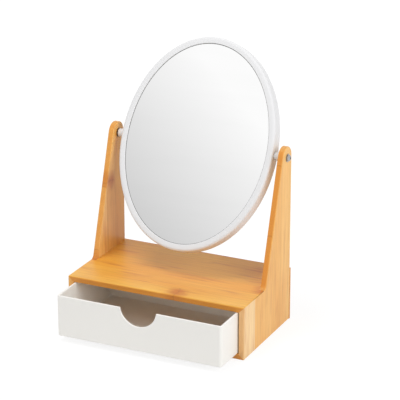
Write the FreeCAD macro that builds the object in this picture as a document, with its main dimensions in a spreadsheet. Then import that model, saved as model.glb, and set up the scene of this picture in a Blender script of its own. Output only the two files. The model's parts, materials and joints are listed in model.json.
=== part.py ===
"""Vanity mirror with drawer: a mitred bamboo cabinet with two posts, a moulded drawer tray and an
oval mirror that tilts on two screws.

Millimetres. X runs to the right, Y to the back, Z up. The origin is the centre of the cabinet's
underside. The drawer is modelled pulled out, and the mirror leaning back.
"""
import FreeCAD, Part
import math
import os

import Sketcher
from FreeCAD import Vector

doc = FreeCAD.newDocument("vanity_mirror")

# ---------------------------------------------------------------------------------------------
# Driving dimensions
# ---------------------------------------------------------------------------------------------

SIZES = {
    # cabinet
    "cabinet_width": 230.0,
    "cabinet_depth": 137.0,       # front of the boards to the back of the back panel
    "shelf_level": 66.0,          # top of the shelf above the table
    "board_thick": 7.0,
    "back_thick": 3.0,
    "edge_round": 1.5,            # outer edges of the boards
    "inner_round": 0.8,           # edges round the drawer opening, and the posts' inner edges
    "back_round": 0.6,
    # posts
    "post_base_depth": 72.5,      # where the post's front edge would meet the shelf
    "post_flare": 6.0,            # hollow at the foot of the post's front edge
    "head_radius": 13.5,
    # mitre splines
    "spline_thick": 2.0,
    "spline_depth": 2.5,          # into each board
    "spline_heel": 3.5,           # from the inner corner, along the mitre
    "spline_stop": 8.0,           # short of the front edge and of the notch
    # brads of the back panel
    "brad_radius": 0.6,
    "brad_length": 14.0,
    "brad_head_radius": 1.1,
    "brad_head_thick": 0.6,
    "brad_inset": 14.0,           # from the panel's upper and lower edges
    "brad_spread": 55.0,          # from the middle, along the shelf and the bottom
    "brad_play": 0.02,
    "brad_tip_gap": 0.5,
    # drawer
    "drawer_side_gap": 1.5,
    "drawer_top_gap": 0.5,
    "drawer_lift": 0.3,           # running gap under the tray
    "drawer_back_gap": 2.0,
    "drawer_wall": 2.5,
    "drawer_floor": 2.2,
    "drawer_corner": 3.5,
    "drawer_foot_round": 1.2,
    "drawer_rim_round": 0.6,
    "drawer_pull": 43.5,          # how far it stands open
    "notch_radius": 23.7,
    "notch_rise": 3.1,            # the notch's centre above the rim
    # mirror
    "mirror_height": 260.0,
    "mirror_depth": 17.5,
    "mirror_side_gap": 8.5,       # ring to post
    "swing_clearance": 14.5,      # upright mirror above the shelf
    "mirror_tilt": 26.3,
    "bezel_width": 8.1,
    "bezel_lip": 1.5,
    "ring_wall": 2.5,
    "ring_front_round": 3.0,
    "ring_back_round": 1.5,
    "bezel_edge_round": 0.5,
    "glass_thick": 2.0,
    "glass_gap": 0.5,
    "foam_thick": 1.5,
    "foam_inset": 16.0,           # in from the glass's edge
    "cover_thick": 2.5,
    "cover_gap": 0.2,
    "cover_round": 0.8,
    "cover_rib": 2.0,
    "cover_rib_inset": 6.0,       # in from the foam's edge
    # pivots
    "screw_radius": 2.0,
    "screw_running_gap": 0.08,    # radial, in the post
    "screw_head_radius": 4.0,
    "screw_head_height": 3.0,
    "screw_dome": 2.4,
    "screw_tip_gap": 1.0,         # short of the insert's inner end
    "recess_width": 1.0,
    "recess_span": 4.2,
    "recess_depth": 1.5,
    "washer_radius": 5.0,
    "washer_thick": 0.8,
    "friction_radius": 5.2,
    "friction_thick": 1.6,
    "turning_play": 0.1,          # between faces that turn on each other
    "spacer_radius": 5.25,
    "seat_depth": 0.1,            # flat on the ring's curved side under the spacer
    "seat_margin": 0.4,
    "insert_radius": 3.0,
    "insert_length": 8.0,
    "insert_groove": 0.4,
    "thread_play": 0.02,
    "boss_wall": 1.5,
    "boss_end_wall": 2.0,
    # cutting outlines run this far past the material
    "cut_past": 1.0,
}

sheet = doc.addObject("Spreadsheet::Sheet", "Sizes")
for row, (size_name, size) in enumerate(SIZES.items(), start=1):
    sheet.set(f"A{row}", size_name)
    sheet.set(f"B{row}", str(size))
    sheet.setAlias(f"B{row}", size_name)
doc.recompute()


def size_of(expression):
    """The present value of an expression of the sheet's cells."""
    return float(sheet.evalExpression(expression))


# Places worked out from the driving dimensions, as expressions.
HALF_WIDTH = "(Sizes.cabinet_width / 2)"
INNER_WALL = "(Sizes.cabinet_width / 2 - Sizes.board_thick)"
FRONT = "(-Sizes.cabinet_depth / 2)"
BOARD_BACK = "(Sizes.cabinet_depth / 2 - Sizes.back_thick)"
SHELF_UNDERSIDE = "(Sizes.shelf_level - Sizes.board_thick)"
POST_FRONT = f"({BOARD_BACK} - Sizes.post_base_depth)"
PIVOT_Y = f"({BOARD_BACK} - Sizes.head_radius)"
PIVOT_Z = "(Sizes.shelf_level + Sizes.swing_clearance + Sizes.mirror_height / 2)"
POST_RUN = f"({PIVOT_Y} - {POST_FRONT})"
POST_RISE = f"({PIVOT_Z} - Sizes.shelf_level)"
POST_LEAN = (
    f"(atan2({POST_RUN}; {POST_RISE}) - asin(Sizes.head_radius / hypot({POST_RUN}; {POST_RISE})))"
)
NOTCH_FRONT = f"({POST_FRONT} - Sizes.post_flare * tan((90 deg - {POST_LEAN}) / 2))"
RING_HALF_WIDTH = f"({INNER_WALL} - Sizes.mirror_side_gap)"
RING_HALF_HEIGHT = "(Sizes.mirror_height / 2)"
HALF_DEPTH = "(Sizes.mirror_depth / 2)"
GLASS_FRONT = f"(-{HALF_DEPTH} + Sizes.bezel_lip)"
GLASS_BACK = f"({GLASS_FRONT} + Sizes.glass_thick)"
FOAM_BACK = f"({GLASS_BACK} + Sizes.foam_thick)"
COVER_FRONT = f"({HALF_DEPTH} - Sizes.cover_thick)"
SEAT_X = f"({RING_HALF_WIDTH} - Sizes.seat_depth)"
INSERT_END_X = f"({SEAT_X} - Sizes.insert_length)"

SCREW_HEAD_X = f"({HALF_WIDTH} + Sizes.washer_thick + Sizes.turning_play)"

LEFT = -1
RIGHT = 1
SIDES = {"left": LEFT, "right": RIGHT}

# ---------------------------------------------------------------------------------------------
# Sketch and feature helpers
# ---------------------------------------------------------------------------------------------


def new_body(label):
    body = doc.addObject("PartDesign::Body", label)
    body.Label = label
    return body


def new_sketch(body, name, plane, offset="0"):
    """A sketch on one of the body's origin planes, moved along the plane's normal by offset.

    The normals are +Z for XY_Plane, -Y for XZ_Plane and +X for YZ_Plane.
    """
    sketch = body.newObject("Sketcher::SketchObject", name)
    support = [item for item in body.Origin.OriginFeatures if item.Role == plane][0]
    sketch.AttachmentSupport = (support, [""])
    sketch.MapMode = "FlatFace"
    sketch.setExpression("AttachmentOffset.Base.z", offset)
    return sketch


def bind(sketch, constraint, expression):
    """Adds a dimension that follows an expression of the sheet."""
    index = sketch.addConstraint(constraint)
    sketch.setExpression(f"Constraints[{index}]", expression)


def place_point(sketch, geometry, point, place):
    """Holds one point of the sketch at an (across, up) pair of expressions from its origin."""
    across, up = place
    bind(sketch, Sketcher.Constraint("DistanceX", -1, 1, geometry, point, size_of(across)), across)
    bind(sketch, Sketcher.Constraint("DistanceY", -1, 1, geometry, point, size_of(up)), up)


def add_polygon(sketch, corners):
    """A closed outline of straight lines through pairs of expressions."""
    points = [Vector(size_of(across), size_of(up), 0) for across, up in corners]
    first = sketch.GeometryCount
    count = len(points)
    for index in range(count):
        sketch.addGeometry(Part.LineSegment(points[index], points[(index + 1) % count]), False)
    for index in range(count):
        following = (index + 1) % count
        sketch.addConstraint(Sketcher.Constraint("Coincident", first + index, 2, first + following, 1))
        place_point(sketch, first + index, 1, corners[index])


def add_rectangle(sketch, low, high):
    """An upright rectangle between two corners, each a pair of expressions."""
    left, bottom = low
    right, top = high
    add_polygon(sketch, [(left, bottom), (right, bottom), (right, top), (left, top)])


def add_circle(sketch, centre, radius):
    start = Vector(size_of(centre[0]), size_of(centre[1]), 0)
    circle = sketch.addGeometry(Part.Circle(start, Vector(0, 0, 1), size_of(radius)), False)
    place_point(sketch, circle, 3, centre)
    bind(sketch, Sketcher.Constraint("Radius", circle, size_of(radius)), radius)


def add_oval(sketch, half_width, half_height):
    """An ellipse about the sketch's origin, taller than it is wide."""
    crown = Vector(0, size_of(half_height), 0)
    flank = Vector(size_of(half_width), 0, 0)
    oval = sketch.addGeometry(Part.Ellipse(crown, flank, Vector(0, 0, 0)), False)
    sketch.exposeInternalGeometry(oval)
    tall_axis = oval + 1
    wide_axis = oval + 2
    sketch.addConstraint(Sketcher.Constraint("Coincident", oval, 3, -1, 1))
    sketch.addConstraint(Sketcher.Constraint("Vertical", tall_axis))
    bind(sketch, Sketcher.Constraint("Distance", tall_axis, 2 * crown.y), f"2 * {half_height}")
    bind(sketch, Sketcher.Constraint("Distance", wide_axis, 2 * flank.x), f"2 * {half_width}")


def pad(body, sketch, name, length, reverse=False):
    feature = body.newObject("PartDesign::Pad", name)
    feature.Profile = sketch
    feature.setExpression("Length", length)
    feature.Reversed = reverse
    doc.recompute()
    return feature


def pocket(body, sketch, name, length=None, reverse=False):
    """Cuts against the sketch's normal, or along it if reversed; right through with no length."""
    before = body.Shape.Volume
    feature = body.newObject("PartDesign::Pocket", name)
    feature.Profile = sketch
    feature.Reversed = reverse
    if length is None:
        feature.Type = "ThroughAll"
    else:
        feature.setExpression("Length", length)
    doc.recompute()
    if not feature.Shape.Volume < before:
        raise ValueError(f"{body.Label}: {name} cuts nothing")
    return feature


def revolve(body, sketch, name, axis_role):
    feature = body.newObject("PartDesign::Revolution", name)
    feature.Profile = sketch
    axis = [item for item in body.Origin.OriginFeatures if item.Role == axis_role][0]
    feature.ReferenceAxis = (axis, [""])
    feature.Angle = 360
    doc.recompute()
    return feature


def fillet(body, base, name, radius, wanted):
    """Rounds the edges of the base feature for which wanted(box of the edge) is true."""
    names = []
    for index, edge in enumerate(base.Shape.Edges, start=1):
        if wanted(edge.BoundBox):
            names.append(f"Edge{index}")
    feature = body.newObject("PartDesign::Fillet", name)
    feature.Base = (base, names)
    feature.setExpression("Radius", radius)
    doc.recompute()
    return feature


def near(value, expression):
    return abs(value - size_of(expression)) < 1e-4


def flat_at(low, high, expression):
    """True for an extent that lies wholly at one place."""
    return near(low, expression) and near(high, expression)


def at_pivot(body, tilted):
    """Moves a body modelled round the pivots' common axis to its place between the posts."""
    if tilted:
        body.Placement = FreeCAD.Placement(Vector(0, 0, 0), FreeCAD.Rotation(Vector(1, 0, 0), -1))
        body.setExpression("Placement.Rotation.Angle", "-Sizes.mirror_tilt")
    body.setExpression("Placement.Base.y", PIVOT_Y)
    body.setExpression("Placement.Base.z", PIVOT_Z)


# ---------------------------------------------------------------------------------------------
# Cabinet
# ---------------------------------------------------------------------------------------------


def mitre_wedge(side, inner_level, outer_level, kept):
    """The triangle that a 45 degree mitre removes from the square end of a board.

    The mitre runs from the inner corner of the cabinet to the outer one. kept is "upright" for a
    side panel and "level" for the shelf or the bottom.
    """
    upward = 1 if size_of(outer_level) > size_of(inner_level) else -1
    inner = (f"{side} * ({INNER_WALL} - Sizes.cut_past)", f"{inner_level} - {upward} * Sizes.cut_past")
    outer = (f"{side} * ({HALF_WIDTH} + Sizes.cut_past)", f"{outer_level} + {upward} * Sizes.cut_past")
    if kept == "upright":
        corner = (inner[0], outer[1])
    else:
        corner = (outer[0], inner[1])
    return [inner, outer, corner]


def spline_section(side, inner_level, upward):
    """The four corners of a spline that crosses the mitre squarely near its inner corner."""
    corners = []
    for along, across in ((-1, -1), (1, -1), (1, 1), (-1, 1)):
        run = f"(Sizes.spline_heel + {along} * Sizes.spline_thick / 2)"
        reach = f"({across} * Sizes.spline_depth)"
        corners.append((
            f"{side} * ({INNER_WALL} + ({run} + {reach}) / sqrt(2))",
            f"{inner_level} + {upward} * ({run} - {reach}) / sqrt(2)",
        ))
    return corners


SPLINE_RUNS = {
    # where each pair of splines starts and how far it reaches to the front
    "shelf": (
        f"({NOTCH_FRONT} - Sizes.spline_stop)",
        f"({NOTCH_FRONT} - {FRONT} - 2 * Sizes.spline_stop)",
    ),
    "bottom": (BOARD_BACK, f"({BOARD_BACK} - {FRONT} - Sizes.spline_stop)"),
}
BRAD_HOLE_DEPTH = "(Sizes.brad_length - Sizes.back_thick + Sizes.brad_tip_gap)"


def brad_places(board):
    """Where the brads enter a board's back edge, as pairs of expressions."""
    if board in SIDES:
        across = f"{SIDES[board]} * ({HALF_WIDTH} - Sizes.board_thick / 2)"
        return [(across, "Sizes.brad_inset"), (across, "Sizes.shelf_level - Sizes.brad_inset")]
    level = "Sizes.board_thick / 2"
    if board == "shelf":
        level = "Sizes.shelf_level - Sizes.board_thick / 2"
    return [("-Sizes.brad_spread", level), ("Sizes.brad_spread", level)]


def drill_for_brads(body, board):
    sketch = new_sketch(body, f"{board}_brad_holes", "XZ_Plane", f"-{BOARD_BACK}")
    for place in brad_places(board):
        add_circle(sketch, place, "Sizes.brad_radius + Sizes.brad_play")
    pocket(body, sketch, f"{board}_drilled", BRAD_HOLE_DEPTH, reverse=True)


def slot_for_spline(body, side, board):
    """The half of a spline's slot that lies in this body."""
    start, length = SPLINE_RUNS[board]
    inner_level, upward = (SHELF_UNDERSIDE, 1) if board == "shelf" else ("Sizes.board_thick", -1)
    name = f"{board}_slot_{'left' if side == LEFT else 'right'}"
    sketch = new_sketch(body, f"{name}_outline", "XZ_Plane", f"-{start}")
    add_polygon(sketch, spline_section(side, inner_level, upward))
    pocket(body, sketch, name, length, reverse=True)


def side_outline(sketch):
    """The side panel's outline: a box side whose back half runs up as a tapering, round post."""
    front, back = size_of(FRONT), size_of(BOARD_BACK)
    level = size_of("Sizes.shelf_level")
    flare = size_of("Sizes.post_flare")
    head = size_of("Sizes.head_radius")
    pivot = Vector(size_of(PIVOT_Y), size_of(PIVOT_Z), 0)
    lean = math.radians(size_of(POST_LEAN))
    flare_centre = Vector(size_of(NOTCH_FRONT), level + flare, 0)
    head_start = pivot + Vector(-math.cos(lean), math.sin(lean), 0) * head
    flare_end = flare_centre + Vector(math.cos(lean), -math.sin(lean), 0) * flare
    flare_arc = Part.ArcOfCircle(Part.Circle(flare_centre, Vector(0, 0, 1), flare), -math.pi / 2, -lean)
    head_arc = Part.ArcOfCircle(Part.Circle(pivot, Vector(0, 0, 1), head), 0, math.pi - lean)

    front_line = sketch.addGeometry(Part.LineSegment(Vector(front, 0, 0), Vector(front, level, 0)))
    top_line = sketch.addGeometry(
        Part.LineSegment(Vector(front, level, 0), Vector(flare_centre.x, level, 0)))
    flare_curve = sketch.addGeometry(flare_arc)
    post_line = sketch.addGeometry(Part.LineSegment(flare_end, head_start))
    head_curve = sketch.addGeometry(head_arc)
    back_line = sketch.addGeometry(Part.LineSegment(Vector(back, pivot.y, 0), Vector(back, 0, 0)))
    foot_line = sketch.addGeometry(Part.LineSegment(Vector(back, 0, 0), Vector(front, 0, 0)))

    for one, other in ((front_line, top_line), (back_line, foot_line), (foot_line, front_line)):
        sketch.addConstraint(Sketcher.Constraint("Coincident", one, 2, other, 1))
    for one, one_end, other, other_end in (
        (top_line, 2, flare_curve, 1),
        (flare_curve, 2, post_line, 1),
        (post_line, 2, head_curve, 2),
        (head_curve, 1, back_line, 1),
    ):
        sketch.addConstraint(Sketcher.Constraint("Tangent", one, one_end, other, other_end))
    place_point(sketch, front_line, 1, (FRONT, "0"))
    place_point(sketch, top_line, 1, (FRONT, "Sizes.shelf_level"))
    place_point(sketch, flare_curve, 1, (NOTCH_FRONT, "Sizes.shelf_level"))
    place_point(sketch, head_curve, 3, (PIVOT_Y, PIVOT_Z))
    place_point(sketch, foot_line, 1, (BOARD_BACK, "0"))
    bind(sketch, Sketcher.Constraint("Radius", flare_curve, flare), "Sizes.post_flare")
    bind(sketch, Sketcher.Constraint("Radius", head_curve, head), "Sizes.head_radius")


def make_side_panel(name, side):
    """One board from the table to the pivot, mitred to the shelf and to the bottom."""
    body = new_body(f"{name}_side_panel")
    outline = new_sketch(body, f"{name}_side_outline", "YZ_Plane", f"{side} * {INNER_WALL}")
    side_outline(outline)
    board = pad(body, outline, f"{name}_board", "Sizes.board_thick", reverse=(side == LEFT))

    outer_face = f"{side} * {HALF_WIDTH}"
    inner_face = f"{side} * {INNER_WALL}"

    def outer_edge(box):
        on_face = flat_at(box.XMin, box.XMax, outer_face)
        corner_low = flat_at(box.ZMin, box.ZMax, "0")
        corner_high = flat_at(box.ZMin, box.ZMax, "Sizes.shelf_level")
        front_corner = flat_at(box.YMin, box.YMax, FRONT) and (corner_low or corner_high)
        return on_face or front_corner

    rounded = fillet(body, board, f"{name}_outer_round", "Sizes.edge_round", outer_edge)
    fillet(body, rounded, f"{name}_inner_round", "Sizes.inner_round",
           lambda box: flat_at(box.XMin, box.XMax, inner_face))

    top = new_sketch(body, f"{name}_top_mitre_outline", "XZ_Plane", f"-{NOTCH_FRONT}")
    add_polygon(top, mitre_wedge(side, SHELF_UNDERSIDE, "Sizes.shelf_level", "upright"))
    pocket(body, top, f"{name}_top_mitre", reverse=True)
    foot = new_sketch(body, f"{name}_foot_mitre_outline", "XZ_Plane", f"-{FRONT}")
    add_polygon(foot, mitre_wedge(side, "Sizes.board_thick", "0", "upright"))
    pocket(body, foot, f"{name}_foot_mitre")

    slot_for_spline(body, side, "shelf")
    slot_for_spline(body, side, "bottom")
    drill_for_brads(body, name)

    hole = new_sketch(body, f"{name}_pivot_hole_outline", "YZ_Plane", inner_face)
    add_circle(hole, (PIVOT_Y, PIVOT_Z), "Sizes.screw_radius + Sizes.screw_running_gap")
    pocket(body, hole, f"{name}_pivot_hole", reverse=(side == RIGHT))
    return body


def make_level_board(board, inner_level, outer_level):
    """The shelf or the bottom: a board with a mitre at each end."""
    body = new_body(f"{board}_panel")
    lower = inner_level if board == "shelf" else outer_level
    outline = new_sketch(body, f"{board}_outline", "XY_Plane", lower)
    add_rectangle(outline, (f"-{HALF_WIDTH}", FRONT), (HALF_WIDTH, BOARD_BACK))
    slab = pad(body, outline, f"{board}_board", "Sizes.board_thick")

    def outer_edge(box):
        on_face = flat_at(box.ZMin, box.ZMax, outer_level)
        at_front = flat_at(box.YMin, box.YMax, FRONT)
        at_back = flat_at(box.YMin, box.YMax, BOARD_BACK)
        upright = box.ZLength > 1
        return (on_face and not at_back) or (at_front and upright)

    def inner_front_edge(box):
        return flat_at(box.ZMin, box.ZMax, inner_level) and flat_at(box.YMin, box.YMax, FRONT)

    rounded = fillet(body, slab, f"{board}_outer_round", "Sizes.edge_round", outer_edge)
    fillet(body, rounded, f"{board}_inner_round", "Sizes.inner_round", inner_front_edge)

    mitres = new_sketch(body, f"{board}_mitre_outline", "XZ_Plane", f"-{FRONT}")
    for side in SIDES.values():
        add_polygon(mitres, mitre_wedge(side, inner_level, outer_level, "level"))
    pocket(body, mitres, f"{board}_mitres")
    for side in SIDES.values():
        slot_for_spline(body, side, board)
    drill_for_brads(body, board)
    return body


def make_shelf():
    """The shelf, notched at the back so that it fits between the posts."""
    body = make_level_board("shelf", SHELF_UNDERSIDE, "Sizes.shelf_level")
    notches = new_sketch(body, "post_notch_outline", "XY_Plane", SHELF_UNDERSIDE)
    past_end = f"({HALF_WIDTH} + Sizes.cut_past)"
    past_back = f"({BOARD_BACK} + Sizes.cut_past)"
    add_rectangle(notches, (INNER_WALL, NOTCH_FRONT), (past_end, past_back))
    add_rectangle(notches, (f"-{past_end}", NOTCH_FRONT), (f"-{INNER_WALL}", past_back))
    pocket(body, notches, "post_notches", reverse=True)
    return body


def make_back_panel():
    """The thin board over the back edges, with sunk holes for the brads."""
    body = new_body("back_panel")
    outline = new_sketch(body, "back_outline", "XZ_Plane", "-Sizes.cabinet_depth / 2")
    add_rectangle(outline, (f"-{HALF_WIDTH}", "0"), (HALF_WIDTH, "Sizes.shelf_level"))
    board = pad(body, outline, "back_board", "Sizes.back_thick")
    fillet(body, board, "back_edges", "Sizes.back_round",
           lambda box: flat_at(box.YMin, box.YMax, "Sizes.cabinet_depth / 2"))
    for name, radius, depth in (
        ("brad_holes", "Sizes.brad_radius + Sizes.brad_play", None),
        ("brad_head_seats", "Sizes.brad_head_radius + Sizes.brad_play", "Sizes.brad_head_thick"),
    ):
        holes = new_sketch(body, f"{name}_outline", "XZ_Plane", "-Sizes.cabinet_depth / 2")
        for board_name in ("left", "right", "shelf", "bottom"):
            for place in brad_places(board_name):
                add_circle(holes, place, radius)
        pocket(body, holes, name, depth, reverse=True)
    return body


def make_group(label, solids):
    """Several separate solids kept together in one node."""
    group = doc.addObject("Part::Compound", label)
    group.Label = label
    group.Links = solids
    doc.recompute()
    return group


def make_brads():
    """Small nails driven through the back panel into the four boards."""
    brads = []
    for board in ("left", "right", "shelf", "bottom"):
        for across, up in brad_places(board):
            pieces = []
            for radius, length in (
                ("Sizes.brad_radius", "Sizes.brad_length"),
                ("Sizes.brad_head_radius", "Sizes.brad_head_thick"),
            ):
                piece = doc.addObject("Part::Cylinder", "brad_piece")
                turned = FreeCAD.Rotation(Vector(1, 0, 0), 90)
                piece.Placement = FreeCAD.Placement(Vector(0, 0, 0), turned)
                piece.setExpression("Radius", radius)
                piece.setExpression("Height", length)
                piece.setExpression("Placement.Base.x", across)
                piece.setExpression("Placement.Base.y", "Sizes.cabinet_depth / 2")
                piece.setExpression("Placement.Base.z", up)
                pieces.append(piece)
            brad = doc.addObject("Part::Fuse", "brad")
            brad.Base, brad.Tool = pieces
            brads.append(brad)
    return make_group("back_panel_brads", brads)


def make_splines(board, inner_level, upward):
    """The tongues that cross the pair of mitres of one board."""
    start, length = SPLINE_RUNS[board]
    tongues = []
    for name, side in SIDES.items():
        body = new_body(f"{board}_spline_{name}")
        outline = new_sketch(body, f"{board}_tongue_{name}_outline", "XZ_Plane", f"-{start}")
        add_polygon(outline, spline_section(side, inner_level, upward))
        pad(body, outline, f"{board}_tongue_{name}", length)
        tongues.append(body)
    return make_group(f"{board}_splines", tongues)


# ---------------------------------------------------------------------------------------------
# Drawer
# ---------------------------------------------------------------------------------------------

TRAY_SIDE = f"({INNER_WALL} - Sizes.drawer_side_gap)"
TRAY_BOTTOM = "(Sizes.board_thick + Sizes.drawer_lift)"
TRAY_RIM = f"({SHELF_UNDERSIDE} - Sizes.drawer_top_gap)"
TRAY_BACK = f"({BOARD_BACK} - Sizes.drawer_back_gap)"
NOTCH_CENTRE = f"({TRAY_RIM} + Sizes.notch_rise)"


def make_drawer():
    """The moulded tray, modelled shut and then moved forward by the amount that it stands open."""
    body = new_body("drawer_tray")
    outline = new_sketch(body, "tray_outline", "XY_Plane", TRAY_BOTTOM)
    add_rectangle(outline, (f"-{TRAY_SIDE}", FRONT), (TRAY_SIDE, TRAY_BACK))
    block = pad(body, outline, "tray_block", f"{TRAY_RIM} - {TRAY_BOTTOM}")
    corners = fillet(body, block, "tray_corners", "Sizes.drawer_corner", lambda box: box.ZLength > 1)
    fillet(body, corners, "tray_foot", "Sizes.drawer_foot_round",
           lambda box: flat_at(box.ZMin, box.ZMax, TRAY_BOTTOM))

    wall = "Sizes.drawer_wall"
    hollow = new_sketch(body, "tray_hollow_outline", "XY_Plane", TRAY_RIM)
    add_rectangle(hollow, (f"-{TRAY_SIDE} + {wall}", f"{FRONT} + {wall}"),
                  (f"{TRAY_SIDE} - {wall}", f"{TRAY_BACK} - {wall}"))
    cavity = pocket(body, hollow, "tray_hollow", f"{TRAY_RIM} - {TRAY_BOTTOM} - Sizes.drawer_floor")

    def cavity_edge(box):
        on_floor = flat_at(box.ZMin, box.ZMax, f"{TRAY_BOTTOM} + Sizes.drawer_floor")
        upright_corner = box.ZLength > 1 and near(abs(box.XMin), f"{TRAY_SIDE} - {wall}")
        return on_floor or upright_corner

    fillet(body, cavity, "tray_hollow_corners", f"Sizes.drawer_corner - {wall}", cavity_edge)

    finger = new_sketch(body, "finger_notch_outline", "XZ_Plane", f"-{FRONT} + Sizes.cut_past")
    add_circle(finger, ("0", NOTCH_CENTRE), "Sizes.notch_radius")
    notched = pocket(body, finger, "finger_notch", f"{wall} + 2 * Sizes.cut_past")

    def rim_edge(box):
        on_rim = flat_at(box.ZMin, box.ZMax, TRAY_RIM)
        crosses_wall = box.XLength < 0.01 and box.YLength < size_of(wall) + 0.01
        notch_curve = near(box.ZMin, f"{NOTCH_CENTRE} - Sizes.notch_radius")
        return (on_rim and not crosses_wall) or notch_curve

    fillet(body, notched, "tray_rim", "Sizes.drawer_rim_round", rim_edge)
    body.setExpression("Placement.Base.y", "-Sizes.drawer_pull")
    return body


# ---------------------------------------------------------------------------------------------
# Mirror, modelled upright round the pivot axis
# ---------------------------------------------------------------------------------------------


def make_ring():
    """The oval ring: a bezel in front, a hollow behind it and a boss at each end of the axis."""
    body = new_body("mirror_ring")
    outline = new_sketch(body, "ring_outline", "XZ_Plane", f"-{HALF_DEPTH}")
    add_oval(outline, RING_HALF_WIDTH, RING_HALF_HEIGHT)
    block = pad(body, outline, "ring_block", "Sizes.mirror_depth")
    front = fillet(body, block, "ring_front_edge", "Sizes.ring_front_round",
                   lambda box: flat_at(box.YMin, box.YMax, f"-{HALF_DEPTH}"))
    fillet(body, front, "ring_back_edge", "Sizes.ring_back_round",
           lambda box: flat_at(box.YMin, box.YMax, HALF_DEPTH))

    hollow = new_sketch(body, "ring_hollow_outline", "XZ_Plane", f"-{HALF_DEPTH}")
    add_oval(hollow, f"({RING_HALF_WIDTH} - Sizes.ring_wall)", f"({RING_HALF_HEIGHT} - Sizes.ring_wall)")
    pocket(body, hollow, "ring_hollow", "Sizes.mirror_depth - Sizes.bezel_lip", reverse=True)
    window = new_sketch(body, "window_outline", "XZ_Plane", f"-{HALF_DEPTH}")
    window_half_width = f"({RING_HALF_WIDTH} - Sizes.bezel_width)"
    add_oval(window, window_half_width, f"({RING_HALF_HEIGHT} - Sizes.bezel_width)")
    opened = pocket(body, window, "window", reverse=True)

    def window_edge(box):
        in_front = flat_at(box.YMin, box.YMax, f"-{HALF_DEPTH}")
        return in_front and box.XMax < size_of(window_half_width) + 0.01

    fillet(body, opened, "window_edge", "Sizes.bezel_edge_round", window_edge)

    for name, side in SIDES.items():
        boss_start = f"({INSERT_END_X} - Sizes.boss_end_wall)"
        boss = new_sketch(body, f"{name}_boss_outline", "YZ_Plane", f"{side} * {boss_start}")
        add_circle(boss, ("0", "0"), "Sizes.insert_radius + Sizes.boss_wall")
        boss_length = f"{RING_HALF_WIDTH} - Sizes.ring_wall / 2 - {boss_start}"
        pad(body, boss, f"{name}_boss", boss_length, reverse=(side == LEFT))
        seat = new_sketch(body, f"{name}_seat_outline", "YZ_Plane", f"{side} * {SEAT_X}")
        add_circle(seat, ("0", "0"), "Sizes.spacer_radius + Sizes.seat_margin")
        pocket(body, seat, f"{name}_seat", reverse=(side == RIGHT))
        hole = new_sketch(body, f"{name}_insert_hole_outline", "YZ_Plane", f"{side} * {SEAT_X}")
        add_circle(hole, ("0", "0"), "Sizes.insert_radius")
        pocket(body, hole, f"{name}_insert_hole", "Sizes.insert_length", reverse=(side == LEFT))
    at_pivot(body, tilted=True)
    return body


def make_oval_plate(label, inset, back, thick):
    """A flat oval inside the ring, inset from the ring's outer edge."""
    body = new_body(label)
    outline = new_sketch(body, f"{label}_outline", "XZ_Plane", f"-{back}")
    add_oval(outline, f"({RING_HALF_WIDTH} - ({inset}))", f"({RING_HALF_HEIGHT} - ({inset}))")
    pad(body, outline, f"{label}_plate", thick)
    at_pivot(body, tilted=True)
    return body


GLASS_INSET = "(Sizes.ring_wall + Sizes.glass_gap)"
FOAM_INSET = f"({GLASS_INSET} + Sizes.foam_inset)"
COVER_INSET = "(Sizes.ring_wall + Sizes.cover_gap)"


def make_back_cover():
    """The cover that closes the ring, with an oval rib that presses on the foam."""
    body = make_oval_plate("mirror_back_cover", COVER_INSET, HALF_DEPTH, "Sizes.cover_thick")
    fillet(body, body.Tip, "cover_edge", "Sizes.cover_round",
           lambda box: flat_at(box.YMin, box.YMax, HALF_DEPTH))
    rib = new_sketch(body, "cover_rib_outline", "XZ_Plane", f"-{COVER_FRONT}")
    rib_inset = f"{FOAM_INSET} + Sizes.cover_rib_inset"
    for inset in (rib_inset, f"{rib_inset} + Sizes.cover_rib"):
        add_oval(rib, f"({RING_HALF_WIDTH} - ({inset}))", f"({RING_HALF_HEIGHT} - ({inset}))")
    pad(body, rib, "cover_rib", f"{COVER_FRONT} - {FOAM_BACK}")
    return body


# ---------------------------------------------------------------------------------------------
# Pivots
# ---------------------------------------------------------------------------------------------


def make_sleeve(label, side, start, length, bore, radius, tilted):
    """A washer or sleeve on the pivot axis, from start outward."""
    body = new_body(label)
    outline = new_sketch(body, f"{label}_outline", "YZ_Plane", f"{side} * {start}")
    add_circle(outline, ("0", "0"), bore)
    add_circle(outline, ("0", "0"), radius)
    pad(body, outline, f"{label}_ring", length, reverse=(side == LEFT))
    at_pivot(body, tilted)
    return body


def make_insert(label, side):
    """A brass thread insert with a groove round its middle."""
    body = new_body(label)
    outline = new_sketch(body, f"{label}_outline", "XY_Plane")
    bore = "Sizes.screw_radius + Sizes.thread_play"
    outer = "Sizes.insert_radius - Sizes.thread_play"
    groove = f"{outer} - Sizes.insert_groove"
    steps = [f"{side} * ({INSERT_END_X} + {third} * Sizes.insert_length / 3)" for third in range(4)]
    add_polygon(outline, [
        (steps[0], bore), (steps[3], bore), (steps[3], outer), (steps[2], outer),
        (steps[2], groove), (steps[1], groove), (steps[1], outer), (steps[0], outer),
    ])
    revolve(body, outline, f"{label}_turned", "X_Axis")
    at_pivot(body, tilted=True)
    return body


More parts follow.
